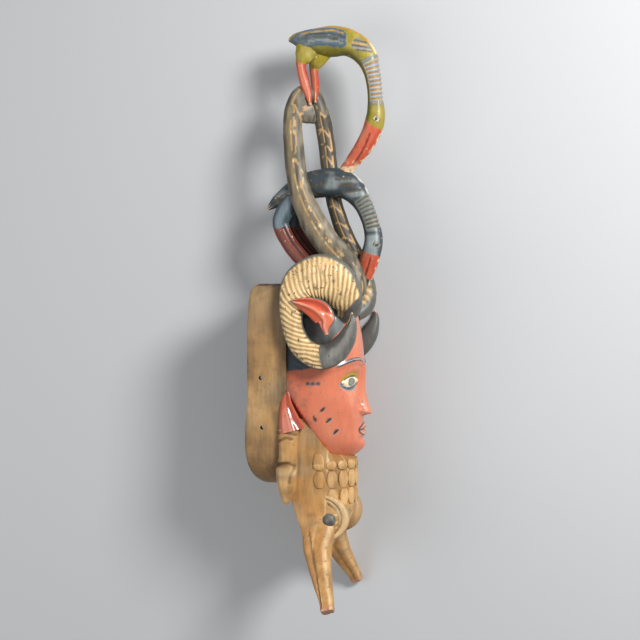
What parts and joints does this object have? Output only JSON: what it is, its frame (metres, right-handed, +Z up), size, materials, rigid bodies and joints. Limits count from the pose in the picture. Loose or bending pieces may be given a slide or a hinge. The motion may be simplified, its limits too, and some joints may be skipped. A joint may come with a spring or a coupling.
{
  "type": "african mask",
  "caption": "Carved and painted wooden mask with ram's horns, a crest of a looped snake and long-necked birds, and a crocodile below the chin, lying on its side.",
  "frame": {"origin": "centre of the bounding box on the floor under the lying mask", "axes": "+Z up from the floor; +Y along the mask from the crocodile's snouts to the top bird; the face looks roughly to +X and the hollow back to -X, and the mask's own right side is up"},
  "size_m": [0.1696, 0.7446, 0.1939],
  "materials": {
    "painted_wood": "hand-carved wood with worn semi-gloss paint in red, ochre, grey-blue, yellow and dark grey"
  },
  "bodies": {
    "root": {"mask": "painted_wood"}
  },
  "joints": []
}
